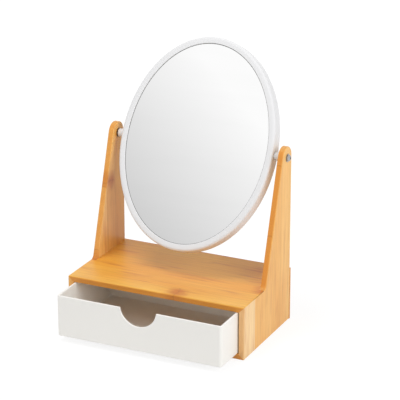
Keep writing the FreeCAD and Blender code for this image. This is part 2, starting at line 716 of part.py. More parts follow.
def make_screw(label, side):
    """A domed screw with a cross recess, through the post and the spacer into the insert."""
    body = new_body(label)
    head = new_sketch(body, f"{label}_head_outline", "YZ_Plane", f"{side} * {SCREW_HEAD_X}")
    add_circle(head, ("0", "0"), "Sizes.screw_head_radius")
    blank = pad(body, head, f"{label}_head", "Sizes.screw_head_height", reverse=(side == LEFT))
    head_top = f"({SCREW_HEAD_X} + Sizes.screw_head_height)"
    fillet(body, blank, f"{label}_dome", "Sizes.screw_dome",
           lambda box: flat_at(box.XMin, box.XMax, f"{side} * {head_top}"))

    shank = new_sketch(body, f"{label}_shank_outline", "YZ_Plane", f"{side} * {SCREW_HEAD_X}")
    add_circle(shank, ("0", "0"), "Sizes.screw_radius")
    shank_length = f"{SCREW_HEAD_X} - {INSERT_END_X} - Sizes.screw_tip_gap"
    pad(body, shank, f"{label}_shank", shank_length, reverse=(side == RIGHT))

    recess = new_sketch(body, f"{label}_recess_outline", "YZ_Plane", f"{side} * {head_top}")
    arm = "(Sizes.recess_span / 2)"
    half = "(Sizes.recess_width / 2)"
    add_polygon(recess, [
        (arm, f"-{half}"), (arm, half), (half, half), (half, arm), (f"-{half}", arm),
        (f"-{half}", half), (f"-{arm}", half), (f"-{arm}", f"-{half}"), (f"-{half}", f"-{half}"),
        (f"-{half}", f"-{arm}"), (half, f"-{arm}"), (half, f"-{half}"),
    ])
    pocket(body, recess, f"{label}_recess", "Sizes.recess_depth", reverse=(side == LEFT))
    at_pivot(body, tilted=True)
    return body


def make_pivot(name, side):
    """Everything on one screw, from the head outside the post to the insert in the ring."""
    bore = "Sizes.screw_radius + Sizes.screw_running_gap"
    friction_face = f"({INNER_WALL} - Sizes.friction_thick)"
    spacer_length = f"{friction_face} - Sizes.turning_play - {SEAT_X}"
    return [
        make_sleeve(f"outer_washer_{name}", side, HALF_WIDTH, "Sizes.washer_thick", bore,
                    "Sizes.washer_radius", tilted=False),
        make_sleeve(f"friction_washer_{name}", side, friction_face, "Sizes.friction_thick", bore,
                    "Sizes.friction_radius", tilted=False),
        make_sleeve(f"spacer_{name}", side, SEAT_X, spacer_length, bore,
                    "Sizes.spacer_radius", tilted=True),
        make_insert(f"pivot_insert_{name}", side),
        make_screw(f"pivot_screw_{name}", side),
    ]


# ---------------------------------------------------------------------------------------------
# The whole object
# ---------------------------------------------------------------------------------------------

parts = [make_side_panel(name, side) for name, side in SIDES.items()]
parts += [
    make_shelf(),
    make_level_board("bottom", "Sizes.board_thick", "0"),
    make_back_panel(),
    make_brads(),
    make_splines("shelf", SHELF_UNDERSIDE, 1),
    make_splines("bottom", "Sizes.board_thick", -1),
    make_drawer(),
    make_ring(),
    make_oval_plate("mirror_glass", GLASS_INSET, GLASS_BACK, "Sizes.glass_thick"),
    make_oval_plate("mirror_foam_pad", FOAM_INSET, FOAM_BACK, "Sizes.foam_thick"),
    make_back_cover(),
]
for name, side in SIDES.items():
    parts += make_pivot(name, side)
doc.recompute()

for item in doc.Objects:
    if "Invalid" in item.State or "Error" in item.State:
        raise ValueError(f"{item.Label} is {item.State}")
for part in parts:
    if part.Shape.isNull() or not part.Shape.isValid():
        raise ValueError(f"{part.Label} has no valid shape")

os.makedirs("parts", exist_ok=True)
for part in parts:
    part.Shape.exportStep(f"parts/{part.Label}.step")
    box = part.Shape.BoundBox
    print(f"{part.Label}: {len(part.Shape.Solids)} solid(s), {part.Shape.Volume:.0f} mm3, "
          f"X {box.XMin:.1f} {box.XMax:.1f}, Y {box.YMin:.1f} {box.YMax:.1f}, "
          f"Z {box.ZMin:.1f} {box.ZMax:.1f}")
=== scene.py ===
# %% [markdown]
# # Vanity mirror with a drawer
#
# The object is a small dressing-table mirror. A low bamboo box holds one white drawer, the box's two
# sides run up at the back as posts, and an oval mirror in a white ring tilts between them.
#
# The solid model comes first. It is loaded as a fixed frame, in metres, with X to the right, Y to the
# back and Z up, and everything that follows is placed from it. The boards, the drawer, the screws and
# the washers have the right shape there and only need a finish. The ring, the glass, the back cover and
# the spacers are curved and glossy, so they are modelled again with smooth, even faces.

# %% Load the frame
import json
import math

import bpy
from mathutils import Matrix, Vector


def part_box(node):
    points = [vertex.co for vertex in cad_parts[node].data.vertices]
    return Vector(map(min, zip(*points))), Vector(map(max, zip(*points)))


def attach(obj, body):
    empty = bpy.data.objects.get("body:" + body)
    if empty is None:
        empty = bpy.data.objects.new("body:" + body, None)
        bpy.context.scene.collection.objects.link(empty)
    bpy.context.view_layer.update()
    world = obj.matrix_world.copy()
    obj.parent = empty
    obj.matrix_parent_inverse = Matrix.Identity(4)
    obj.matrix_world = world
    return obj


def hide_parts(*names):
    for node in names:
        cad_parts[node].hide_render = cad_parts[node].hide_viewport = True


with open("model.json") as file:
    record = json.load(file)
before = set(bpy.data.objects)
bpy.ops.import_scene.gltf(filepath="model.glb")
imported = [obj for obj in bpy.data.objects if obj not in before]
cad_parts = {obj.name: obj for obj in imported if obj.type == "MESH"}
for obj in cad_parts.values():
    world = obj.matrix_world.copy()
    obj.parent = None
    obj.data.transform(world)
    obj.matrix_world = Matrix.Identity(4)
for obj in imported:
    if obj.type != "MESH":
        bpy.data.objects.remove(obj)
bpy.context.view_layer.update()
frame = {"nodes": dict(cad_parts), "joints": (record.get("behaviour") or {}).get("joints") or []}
nodes = frame["nodes"]
pivot = Vector(next(joint["pos_m"] for joint in frame["joints"] if joint["name"] == "mirror_tilt"))
print("nodes:", ", ".join(sorted(nodes)))
print("the mirror turns about", tuple(round(value, 4) for value in pivot))

# %% [markdown]
# ## Helpers for node trees
#
# Every finish here is worked out by nodes from the place of a point on the object, with no picture.
# Writing each node by hand takes four lines, so a few short helpers do it: one adds a node and joins or
# sets its inputs, and the others do one step of arithmetic or noise.

# %% Node helpers
def empty_tree(owner):
    """Turns on the nodes of a material or of the world and clears them; returns the tree."""
    owner.use_nodes = True
    owner.node_tree.nodes.clear()
    return owner.node_tree


def add_node(tree, kind, inputs=None, **settings):
    """Adds a node. An input is either a socket to link or a plain value to set."""
    made = tree.nodes.new(kind)
    for name, value in settings.items():
        setattr(made, name, value)
    for name, value in (inputs or {}).items():
        if isinstance(value, bpy.types.NodeSocket):
            tree.links.new(value, made.inputs[name])
        else:
            made.inputs[name].default_value = value
    return made


def calc(tree, operation, *values):
    """One arithmetic step, as a Math node."""
    return add_node(tree, "ShaderNodeMath", dict(enumerate(values)), operation=operation).outputs[0]


def ramp(tree, value, low, high, to_low=0.0, to_high=1.0):
    """Maps low..high to to_low..to_high smoothly, and holds the ends."""
    inputs = {0: value, 1: low, 2: high, 3: to_low, 4: to_high}
    return add_node(tree, "ShaderNodeMapRange", inputs, interpolation_type="SMOOTHSTEP").outputs[0]


def object_place(tree):
    """The place of a point on the object, as a vector."""
    return add_node(tree, "ShaderNodeTexCoord").outputs["Object"]


def split(tree, vector):
    """The numbers of a vector, each by its letter, X, Y or Z."""
    return add_node(tree, "ShaderNodeSeparateXYZ", {0: vector}).outputs


def joined(tree, x, y, z):
    """Three numbers as a vector."""
    return add_node(tree, "ShaderNodeCombineXYZ", {0: x, 1: y, 2: z}).outputs[0]


def scaled(tree, vector, scale):
    """A vector times a number."""
    return add_node(tree, "ShaderNodeVectorMath", {0: vector, 3: scale}, operation="SCALE").outputs[0]


def noise(tree, vector, detail=3.0):
    """Smooth noise round 0.5, with about one blob to each unit of the vector."""
    inputs = {"Vector": vector, "Scale": 1.0, "Detail": detail, "Roughness": 0.5}
    return add_node(tree, "ShaderNodeTexNoise", inputs).outputs[0]


# %% [markdown]
# ### Colours and new materials
#
# Blender mixes light in linear values, while a colour is usually known by the 0 to 255 values of a
# screen, so one helper turns the second kind into the first. Each new material starts with a single
# shader, whose colour, roughness and relief the finishes below fill in.

# %% Colours and new materials
def colour(red, green, blue):
    """A colour from its 0-255 screen values to the linear ones that Blender mixes."""
    linear = []
    for value in (red, green, blue):
        share = value / 255
        linear.append(share / 12.92 if share <= 0.04045 else ((share + 0.055) / 1.055) ** 2.4)
    return (*linear, 1.0)


def shaded(tint, share):
    """A colour with only a share of its light."""
    return (*(value * share for value in tint[:3]), 1.0)


def blend(tree, factor, first, second):
    """Mixes two colours: factor 0 gives the first and 1 the second."""
    inputs = {0: factor, 6: first, 7: second}
    return add_node(tree, "ShaderNodeMix", inputs, data_type="RGBA").outputs[2]


def new_material(name):
    """A material with only its output and one shader; returns the material, its tree and the shader."""
    material = bpy.data.materials.new(name)
    tree = empty_tree(material)
    shader = add_node(tree, "ShaderNodeBsdfPrincipled")
    add_node(tree, "ShaderNodeOutputMaterial", {"Surface": shader.outputs[0]})
    return material, tree, shader


def finish_with(tree, shader, tint, roughness):
    """Joins a colour and a roughness to a shader."""
    tree.links.new(tint, shader.inputs["Base Color"])
    tree.links.new(roughness, shader.inputs["Roughness"])


def bump(tree, shader, height, distance):
    """Gives a shader relief: a height of 1 stands distance metres proud."""
    made = add_node(tree, "ShaderNodeBump", {"Height": height, "Distance": distance})
    tree.links.new(made.outputs[0], shader.inputs["Normal"])


print("a screen grey of 128 is", round(colour(128, 128, 128)[0], 3), "in linear light")

# %% [markdown]
# ## Bamboo boards
#
# The real boards are glued up from bamboo strips 23 to 25 mm wide, planed, sanded and lacquered. A
# picture of bamboo could be wrapped round them, but it would show its seams and repeat from board to
# board. Worked out from the place of a point, the pattern runs right through a board instead, round its
# edges and into its bores.
#
# The first helper tells that place as a joiner would: how far along the grain, across the strips and
# through the board, in which strip, and whether on a face, a narrow side or a cut end.

# %% Places on a board
def board_places(tree, grain, across, seam, width, seed):
    """Where a point lies on a board whose grain and strips follow two axes, given by their letters.

    seam is the place of one glue line, in metres, and width that of a strip. tone is each strip's own
    chance number, and flat_on and end_on are 1 where the surface looks through the board or along it.
    """
    texture = add_node(tree, "ShaderNodeTexCoord").outputs
    place = split(tree, texture["Object"])
    facing = split(tree, texture["Normal"])
    thickness = ({"X", "Y", "Z"} - {grain, across}).pop()
    steps = calc(tree, "DIVIDE", calc(tree, "SUBTRACT", place[across], seam), width)
    strip = calc(tree, "FLOOR", steps)
    chance = add_node(tree, "ShaderNodeTexWhiteNoise", {"W": calc(tree, "ADD", strip, seed)},
                      noise_dimensions="1D").outputs
    return {
        "place": place, "along": place[grain], "side": place[across], "through": place[thickness],
        "strip": strip, "in_strip": calc(tree, "SUBTRACT", steps, strip),
        "tone": chance["Value"], "seed": seed,
        "flat_on": calc(tree, "ABSOLUTE", facing[thickness]),
        "end_on": calc(tree, "ABSOLUTE", facing[grain]),
    }


# %% [markdown]
# ### Grain
#
# Bamboo has no rings. Its pattern is drawn out along the strip: broad clouds of a deeper tone, red-brown
# flames, darker streaks, and fibres and vessels less than a millimetre wide. All of them can be the
# same noise, stretched by different amounts, and shifted in each strip so that no two strips match.

# %% Grain
# Blobs to the metre along the grain, and across it.
CLOUDS = (9.0, 60.0)
FLAMES = (16.0, 150.0)
STREAKS = (7.0, 330.0)
FIBRES = (24.0, 1500.0)
VESSELS = (60.0, 2100.0)
BLOTCHES = (110.0, 190.0)
CHANCE_SHIFT = 57.0


def drawn_out(tree, board, blobs, detail=3.0):
    """Noise drawn out along the grain, and different in each strip."""
    along_scale, cross_scale = blobs
    shift = calc(tree, "MULTIPLY", board["tone"], CHANCE_SHIFT)
    return noise(tree, joined(tree, calc(tree, "MULTIPLY", board["along"], along_scale),
                              calc(tree, "MULTIPLY_ADD", board["side"], cross_scale, shift),
                              calc(tree, "MULTIPLY", board["through"], cross_scale)), detail)


def stain(tree, wood, pattern, tint, rise, share):
    """Lays a tint on the wood where a pattern rises from one value to another, up to a share."""
    return blend(tree, ramp(tree, pattern, *rise, 0.0, share), wood, tint)


print("a fibre is about", round(1000 / FIBRES[1], 2), "mm wide")

# %% [markdown]
# ### Tones of the faces
#
# Each strip comes from another cane and has its own tone between a palest and a deepest one, and the
# grain is stained into that. A slow drift towards orange runs over all the strips of a board, as the
# lacquer is never quite even.

# %% Tones of the faces
DRIFT_ALONG = 9.0
DRIFT_ACROSS = 16.0
PALE_STRIP_SHARE = 0.75
SEAM_BLUR = 0.0006
STREAK_SHADE = 0.70
narrow_tone = colour(222, 140, 50)
palest = colour(255, 226, 176)
red_brown = colour(206, 122, 52)


def face_tones(tree, board, faces, flames, pale_until):
    """The colour of the wood before its narrow sides, fibres, knuckles and glue."""
    pale, deep = faces
    wood = blend(tree, ramp(tree, board["tone"], 0.0, 1.0), pale, deep)
    wood = stain(tree, wood, drawn_out(tree, board, CLOUDS), deep, rise=(0.35, 0.68), share=0.45)
    if pale_until is not None:
        pale_strip = ramp(tree, board["side"], pale_until, pale_until + SEAM_BLUR, PALE_STRIP_SHARE, 0.0)
        wood = blend(tree, pale_strip, wood, palest)
    drift = noise(tree, joined(tree, calc(tree, "MULTIPLY", board["along"], DRIFT_ALONG),
                               calc(tree, "MULTIPLY", board["side"], DRIFT_ACROSS), board["seed"]), 1.0)
    wood = stain(tree, wood, drift, narrow_tone, rise=(0.42, 0.70), share=0.34)
    wood = stain(tree, wood, drawn_out(tree, board, FLAMES), red_brown, rise=(0.53, 0.74), share=flames)
    return stain(tree, wood, drawn_out(tree, board, STREAKS), shaded(deep, STREAK_SHADE),
                 rise=(0.42, 0.72), share=0.30)


# %% [markdown]
# ### Narrow sides and cut ends
#
# The narrow sides of a board look deeper and more orange than its faces, because they show the fibres
# from the side. A cut end drinks the lacquer: it keeps less of that orange and turns a little brown.
# Which of these a point lies on is read from the direction in which its surface looks.

# %% Narrow sides and cut ends
NARROW_TO_FACE = (0.30, 0.85)
SIDE_TO_END = (0.60, 0.95)
WALL_FRONT = (-0.066, -0.050)
FRONT_SHARE = 0.45
END_LOSS = 0.6
END_BROWN = 0.18
brown = colour(150, 88, 40)


def narrow_sides(tree, board, wood, narrow_share, front_is_deep):
    """Deepens the narrow sides, less so in front if the front isn't deep, and browns the cut ends."""
    narrow = ramp(tree, board["flat_on"], *NARROW_TO_FACE, narrow_share, 0.0)
    if not front_is_deep:
        behind_front = ramp(tree, board["side"], *WALL_FRONT, FRONT_SHARE, 1.0)
        narrow = calc(tree, "MULTIPLY", narrow, behind_front)
    cut_end = ramp(tree, board["end_on"], *SIDE_TO_END)
    narrow = calc(tree, "MULTIPLY", narrow, calc(tree, "MULTIPLY_ADD", cut_end, -END_LOSS, 1.0))
    wood = blend(tree, narrow, wood, narrow_tone)
    return blend(tree, calc(tree, "MULTIPLY", cut_end, END_BROWN), wood, brown)


# %% [markdown]
# ### Knuckles
#
# Here and there a strip crosses a knuckle of its cane: a brown smudge with a thin, ragged, bowed line in
# it. Knuckles are far apart, and those of neighbouring strips never meet. So each strip is cut into
# equal lengths, the next strip's lengths are shifted by almost half of one, and the distance from the
# middle of a length draws both the smudge and the line.

# %% Distance to a knuckle
KNUCKLE_SPACING = 0.90
STRIP_TURN = 0.45
BOW_MIDDLE = 0.45
BOW_DEPTH = 0.011
RAG_BLOBS = 420.0
RAG_DEPTH = 0.006


def from_knuckle(tree, board, knuckle):
    """The distance along the grain to the nearest knuckle, bowed and ragged across the strip."""
    turn = calc(tree, "MULTIPLY_ADD", board["strip"], STRIP_TURN, knuckle)
    phase = calc(tree, "FRACT", calc(tree, "MULTIPLY_ADD", board["along"], 1 / KNUCKLE_SPACING, turn))
    gap = calc(tree, "MULTIPLY", calc(tree, "SUBTRACT", phase, 0.5), KNUCKLE_SPACING)
    off_middle = calc(tree, "SUBTRACT", board["in_strip"], BOW_MIDDLE)
    bow = calc(tree, "MULTIPLY", calc(tree, "MULTIPLY", off_middle, off_middle), BOW_DEPTH)
    ragged = noise(tree, joined(tree, calc(tree, "MULTIPLY", board["side"], RAG_BLOBS),
                                calc(tree, "MULTIPLY", board["through"], RAG_BLOBS), board["strip"]))
    gap = calc(tree, "ADD", gap, calc(tree, "MULTIPLY_ADD", ragged, RAG_DEPTH, bow))
    return calc(tree, "ABSOLUTE", calc(tree, "SUBTRACT", gap, RAG_DEPTH / 2))


print("knuckles in one strip are", round(KNUCKLE_SPACING * 1000), "mm apart")

# %% [markdown]
# ### The smudge and the line
#
# The smudge fades out along the strip and grows weaker towards its edges, and a blotchy noise makes its
# outline uneven. The line is a millimetre or two wide, and breaks up where the same noise is high.

# %% Knuckle marks
SMUDGE_START = 0.0045
SMUDGE_END = 0.0135
SMUDGE_SHARE = 0.85
SMUDGE_ACROSS = (0.18, 0.50)
SMUDGE_AT_EDGE = 0.40
BLOTCH_DEPTH = 0.012
LINE_FADE = (0.0002, 0.0014)
LINE_SHARE = 0.30
LINE_BREAKS = (0.35, 0.60)
LINE_IN_BREAK = 0.2
smudge_tone = colour(190, 100, 30)
line_tone = colour(120, 66, 26)


def knuckle_marks(tree, board, knuckle, reach):
    """How strongly the smudge and the line show at a point. reach stretches the smudge."""
    away = from_knuckle(tree, board, knuckle)
    blotch = drawn_out(tree, board, BLOTCHES)
    spread = calc(tree, "ADD", away, calc(tree, "MULTIPLY", blotch, BLOTCH_DEPTH))
    from_middle = calc(tree, "ABSOLUTE", calc(tree, "SUBTRACT", board["in_strip"], 0.5))
    smudge = calc(tree, "MULTIPLY",
                  ramp(tree, spread, SMUDGE_START, SMUDGE_END * reach, SMUDGE_SHARE, 0.0),
                  ramp(tree, from_middle, *SMUDGE_ACROSS, 1.0, SMUDGE_AT_EDGE))
    line = calc(tree, "MULTIPLY", ramp(tree, away, *LINE_FADE, LINE_SHARE, 0.0),
                ramp(tree, blotch, *LINE_BREAKS, 1.0, LINE_IN_BREAK))
    return smudge, line


# %% [markdown]
# ### Glue lines
#
# Two strips meet in a hairline of glue. In the upper corners, where the shelf meets the side panels in
# a mitre, a dark line runs along the joint. It is uneven, fades out towards the front, and
# ends at the posts, where the shelf is notched instead.

# %% Glue lines
GLUE_FADE = (0.004, 0.014)
INNER_WALL = 0.108
SHELF_UNDERSIDE = 0.059
POST_FRONT = -0.0114
MITRE_WIDTH = (0.0002, 0.0006)
MITRE_SHARE = 0.85
MITRE_FADE = (-0.050, -0.010)
MITRE_IN_FRONT = 0.10
MITRE_BLOBS = 90.0
MITRE_UNEVEN = 0.020
mitre_tone = colour(92, 50, 22)


def glue_line(tree, board):
    """1 on the hairline between two strips and 0 off it."""
    edge = calc(tree, "MINIMUM", board["in_strip"], calc(tree, "SUBTRACT", 1.0, board["in_strip"]))
    return ramp(tree, edge, *GLUE_FADE, 1.0, 0.0)


def mitre_line(tree, board):
    """How strongly the dark line of the upper mitres shows at a point."""
    x, y, z = (board["place"][letter] for letter in "XYZ")
    from_wall = calc(tree, "SUBTRACT", calc(tree, "ABSOLUTE", x), INNER_WALL)
    from_shelf = calc(tree, "SUBTRACT", z, SHELF_UNDERSIDE)
    off_mitre = calc(tree, "ABSOLUTE", calc(tree, "SUBTRACT", from_wall, from_shelf))
    uneven = noise(tree, joined(tree, calc(tree, "MULTIPLY", y, MITRE_BLOBS), 0.0, board["seed"]))
    depth = calc(tree, "MULTIPLY_ADD", uneven, MITRE_UNEVEN, y)
    open_part = calc(tree, "MULTIPLY", ramp(tree, depth, *MITRE_FADE, MITRE_IN_FRONT, 1.0),
                     calc(tree, "LESS_THAN", y, POST_FRONT))
    return calc(tree, "MULTIPLY", ramp(tree, off_mitre, *MITRE_WIDTH, MITRE_SHARE, 0.0), open_part)


# %% [markdown]
# ### The bamboo finish
#
# One function puts all of this on the wood, in the order in which it lies there. The lacquer is satin,
# and a little duller on the fibres. The relief is faint, because the boards are sanded: fibres stand
# proud by a few hundredths of a millimetre, and glue lines and knuckle lines are sunk by as little.

# %% Bamboo finish
STRIP_WIDTH = 0.0228
GLUE_SHARE = 0.26
SATIN = 0.34
FIBRE_DULLNESS = 0.14
FIBRE_RISE, GLUE_SINK, LINE_SINK = 0.5, 0.8, 1.2
RELIEF = 0.00006


def bamboo(name, grain, across, seam, knuckle, faces, seed, width=STRIP_WIDTH, flames=0.40,
           pale_until=None, front_is_deep=True, knuckle_reach=1.0, narrow_share=0.85):
    """Lacquered bamboo. grain and across are axis letters, and seam is the place of one glue line.

    knuckle moves every strip's knuckles along the grain, as a share of their spacing. faces holds the
    palest and the deepest tone of a strip, and flames is how strongly it is stained with red-brown.
    Strips before pale_until come from a paler cane, and front_is_deep says whether the narrow front of
    the board is as deep as its other narrow sides. knuckle_reach stretches the smudge of a knuckle, and
    narrow_share is how much of the deep orange the narrow sides take.
    """
    material, tree, shader = new_material(name)
    board = board_places(tree, grain, across, seam, width, seed)
    fibre = drawn_out(tree, board, FIBRES, detail=2.0)
    vessel = drawn_out(tree, board, VESSELS, detail=1.0)
    smudge, line = knuckle_marks(tree, board, knuckle, knuckle_reach)
    glue = glue_line(tree, board)

    wood = face_tones(tree, board, faces, flames, pale_until)
    wood = narrow_sides(tree, board, wood, narrow_share, front_is_deep)
    wood = stain(tree, wood, fibre, shaded(faces[1], STREAK_SHADE), rise=(0.38, 0.70), share=0.22)
    wood = stain(tree, wood, vessel, brown, rise=(0.60, 0.72), share=0.20)
    wood = blend(tree, smudge, wood, smudge_tone)
    wood = blend(tree, line, wood, line_tone)
    wood = blend(tree, calc(tree, "MULTIPLY", glue, GLUE_SHARE), wood, brown)
    wood = blend(tree, mitre_line(tree, board), wood, mitre_tone)
    finish_with(tree, shader, wood, calc(tree, "MULTIPLY_ADD", fibre, FIBRE_DULLNESS, SATIN))

    height = calc(tree, "MULTIPLY_ADD", glue, -GLUE_SINK, calc(tree, "MULTIPLY", fibre, FIBRE_RISE))
    bump(tree, shader, calc(tree, "MULTIPLY_ADD", line, -LINE_SINK, height), RELIEF)
    return material


# %% [markdown]
# ### One finish for each board
#
# A board's strips follow its length, so each board says which way its grain runs, and where one of its
# glue lines and one of its knuckles lie. The shelf is a deeper yellow than the other boards and has the
# most red-brown in it, and the right side panel has a pale strip in front. On the left post the smudge
# of a knuckle is stretched far up the post, and there it is partly painted shade of the mirror ring.

# %% Board finishes
side_tones = (colour(255, 205, 124), colour(243, 180, 92))
shelf_tones = (colour(247, 192, 88), colour(236, 166, 62))
board_finishes = {
    # The long knuckle smudge on the left post is partly painted shade of the mirror ring on its upper
    # part.
    "left_side_panel": bamboo(
        "left_side_bamboo", "Z", "Y", seam=-0.0265, knuckle=0.427, faces=side_tones, seed=3.0,
        front_is_deep=False, knuckle_reach=1.8, narrow_share=0.60),
    "right_side_panel": bamboo(
        "right_side_bamboo", "Z", "Y", seam=-0.0376, knuckle=0.200, faces=side_tones, seed=8.0,
        width=0.0246, pale_until=-0.0376, front_is_deep=False),
    "shelf_panel": bamboo(
        "shelf_bamboo", "X", "Y", seam=-0.0470, knuckle=0.921, faces=shelf_tones, seed=5.0,
        flames=0.78, knuckle_reach=1.9),
    "bottom_panel": bamboo(
        "bottom_bamboo", "X", "Y", seam=-0.0520, knuckle=0.800, faces=side_tones, seed=11.0),
    "back_panel": bamboo(
        "back_bamboo", "X", "Z", seam=0.0100, knuckle=0.567, faces=side_tones, seed=14.0),
    "shelf_splines": bamboo(
        "shelf_spline_bamboo", "Y", "X", seam=0.0, knuckle=0.1, faces=side_tones, seed=17.0),
    "bottom_splines": bamboo(
        "bottom_spline_bamboo", "Y", "X", seam=0.0, knuckle=0.4, faces=side_tones, seed=19.0),
}
print("bamboo finishes:", len(board_finishes))

# %% [markdown]
# ## Moulded plastics
#
# The drawer is satin: its mould was spark-eroded, which leaves a very fine even grain. The ring was
# polished in the mould and shines. Both use the same recipe with a different grain and gloss, and a
# slow drift in tint and gloss, as handling leaves it. The ring's roughness stays above 0.27, because
# the renderer cleans up a glossier surface in another way, and a faint line would show where the
# pattern crossed that value.

# %% Plastic finishes
HANDLING_BLOBS = 9.0
HANDLING_SHADE = 0.985


def moulded_plastic(name, tint, glossiest, dullest, grain_size, grain_depth):
    """A moulded plastic. glossiest and dullest are roughness, and the grain is in metres."""
    material, tree, shader = new_material(name)
    place = object_place(tree)
    slow = noise(tree, scaled(tree, place, HANDLING_BLOBS), 1.0)
    finish_with(tree, shader, blend(tree, slow, tint, shaded(tint, HANDLING_SHADE)),
                ramp(tree, slow, 0.2, 0.8, glossiest, dullest))
    bump(tree, shader, noise(tree, scaled(tree, place, 1 / grain_size), 2.0), grain_depth)
    return material


drawer_plastic = moulded_plastic(
    "drawer_plastic", colour(247, 245, 240), glossiest=0.40, dullest=0.50,
    grain_size=0.0005, grain_depth=0.00001)
ring_plastic = moulded_plastic(
    "ring_plastic", colour(230, 230, 231), glossiest=0.28, dullest=0.33,
    grain_size=0.006, grain_depth=0.000002)
print("plastics:", drawer_plastic.name, "and", ring_plastic.name)

# %% [markdown]
# ## Metals
#
# The mirror is glass with silver behind it, and only its reflection is seen, so it is a metal finish
# that is almost perfectly smooth, with faint wiped smears in its gloss. The screws and outer washers
# are zinc plated, with fine scratches. The brads are plain steel, the inserts brass. One recipe does
# for all of them: noise drawn out along X makes the scratches, which are darker and duller and have
# the faintest relief.

# %% Metal finishes
SCRATCH_STRETCH = 9


def smooth_metal(name, tint, glossiest, dullest, scratch_size, scratch_depth, shade_share=0.9):
    """A metal with scratches drawn out along X, which are scratch_size metres apart."""
    material, tree, shader = new_material(name)
    place = split(tree, object_place(tree))
    scratch_length = scratch_size * SCRATCH_STRETCH
    scratches = noise(tree, joined(tree, calc(tree, "DIVIDE", place["X"], scratch_length),
                                   calc(tree, "DIVIDE", place["Y"], scratch_size),
                                   calc(tree, "DIVIDE", place["Z"], scratch_size)))
    worn = ramp(tree, scratches, 0.35, 0.7)
    finish_with(tree, shader, blend(tree, worn, tint, shaded(tint, shade_share)),
                ramp(tree, scratches, 0.3, 0.7, glossiest, dullest))
    shader.inputs["Metallic"].default_value = 1.0
    if scratch_depth:
        bump(tree, shader, scratches, scratch_depth)
    return material


mirror_silver = smooth_metal(
    "mirror_silver", colour(252, 252, 252), glossiest=0.006, dullest=0.016,
    scratch_size=0.02, scratch_depth=0, shade_share=0.99)
plated_steel = smooth_metal(
    "plated_steel", colour(178, 178, 180), glossiest=0.10, dullest=0.24,
    scratch_size=0.0004, scratch_depth=0.000004)
brad_steel = smooth_metal(
    "brad_steel", colour(178, 178, 178), glossiest=0.25, dullest=0.40,
    scratch_size=0.0003, scratch_depth=0.000005)
insert_brass = smooth_metal(
    "insert_brass", colour(214, 178, 96), glossiest=0.20, dullest=0.35,
    scratch_size=0.0003, scratch_depth=0.000005)
print("metals:", mirror_silver.name, plated_steel.name, brad_steel.name, insert_brass.name)

# %% [markdown]
# ## Rubber, foam and paint
#
# The friction washers are brown-black rubber, the pad behind the glass is dark foam, and the back and
# the edge of the glass are painted. The washers' brown tint is partly painted shade, the dark of the
# post's face beside the spacer, and the grey of the back is also laid on a thin strip round the silvered
# face as painted shade, the bezel's dark underside mirrored in the glass. All three are matt and grainy,
# and differ only in tint, in roughness, and in the size and depth of the grain.

# %% Matt finishes
MATT_SHADE = 0.7
MATT_SPREAD = 0.1


def matt(name, tint, roughness, grain_size, grain_depth):
    """A matt, grainy finish for rubber, foam and the paint behind the glass, two of which also carry
    painted shade.
    """
    material, tree, shader = new_material(name)
    grain = noise(tree, scaled(tree, object_place(tree), 1 / grain_size))
    finish_with(tree, shader, blend(tree, ramp(tree, grain, 0.35, 0.7), tint, shaded(tint, MATT_SHADE)),
                ramp(tree, grain, 0.3, 0.7, roughness, roughness + MATT_SPREAD))
    bump(tree, shader, grain, grain_depth)
    return material


# The washers' brown tint is partly painted shade, the dark of the post beside the spacer.
friction_rubber = matt(
    "friction_rubber", colour(88, 56, 34), roughness=0.6, grain_size=0.0006, grain_depth=0.00003)
foam = matt("foam", colour(58, 58, 60), roughness=0.85, grain_size=0.0012, grain_depth=0.0003)
# This grey paints the back and edge of the glass, and the strip round the silvered face as painted
# shade.
backing_paint_and_painted_shade = matt(
    "backing_paint_and_painted_shade", colour(112, 114, 112), roughness=0.35, grain_size=0.003, grain_depth=0.000005)
print("materials so far:", len(bpy.data.materials))

# %% [markdown]
# ## Selecting a piece
#
# An operator acts on all that is selected, and the nodes of the frame are still selected after
# loading. So everything is deselected before a new piece is started, and a piece is picked alone
# before it is turned, cut or shaded.

# %% Selecting a piece
def deselect_all():
    """Leaves edit mode, with nothing selected."""
    if bpy.context.object and bpy.context.object.mode != "OBJECT":
        bpy.ops.object.mode_set(mode="OBJECT")
    bpy.ops.object.select_all(action="DESELECT")


def pick_only(piece):
    """Selects one piece alone and makes it the active one."""
    deselect_all()
    piece.select_set(True)
    bpy.context.view_layer.objects.active = piece


print("selected after loading:", len(bpy.context.selected_objects))
deselect_all()
print("selected now:", len(bpy.context.selected_objects))

# %% [markdown]
# ## Oval pieces
#
# The ring, the glass and the back cover are all ovals, and each is the same shape all the way round.
# Such a piece could be cut from a block or built point by point. The quickest clean way is the one a
# modeller uses by hand: draw one oval loop of edges, then extrude it, resize it and shift it, loop
# after loop, so that the loops trace the section from edge to edge. All three pieces are drawn lying
# flat, with their front upwards, and are turned and moved onto the pivot when they are finished.

# %% Oval helpers
SIDES = 192
CENTRE = (0, 0, 0)
MERGE_DISTANCE = 0.000001


def first_loop(name, half_width, half_height, level, filled=False):
    """Starts a piece with one oval loop, and stays in edit mode with it selected."""
    deselect_all()
    fill = "NGON" if filled else "NOTHING"
    bpy.ops.mesh.primitive_circle_add(vertices=SIDES, radius=1, fill_type=fill, location=CENTRE)
    bpy.context.object.name = name
    bpy.ops.object.mode_set(mode="EDIT")
    bpy.ops.mesh.select_all(action="SELECT")
    bpy.ops.transform.resize(value=(half_width, half_height, 1), center_override=CENTRE)
    bpy.ops.transform.translate(value=(0, 0, level))
    return bpy.context.object


def next_loop(old, new):
    """Extrudes the selected loop from (half width, half height, level) to the next one."""
    bpy.ops.mesh.extrude_region()
    bpy.ops.transform.resize(value=(new[0] / old[0], new[1] / old[1], 1), center_override=CENTRE)
    bpy.ops.transform.translate(value=(0, 0, new[2] - old[2]))


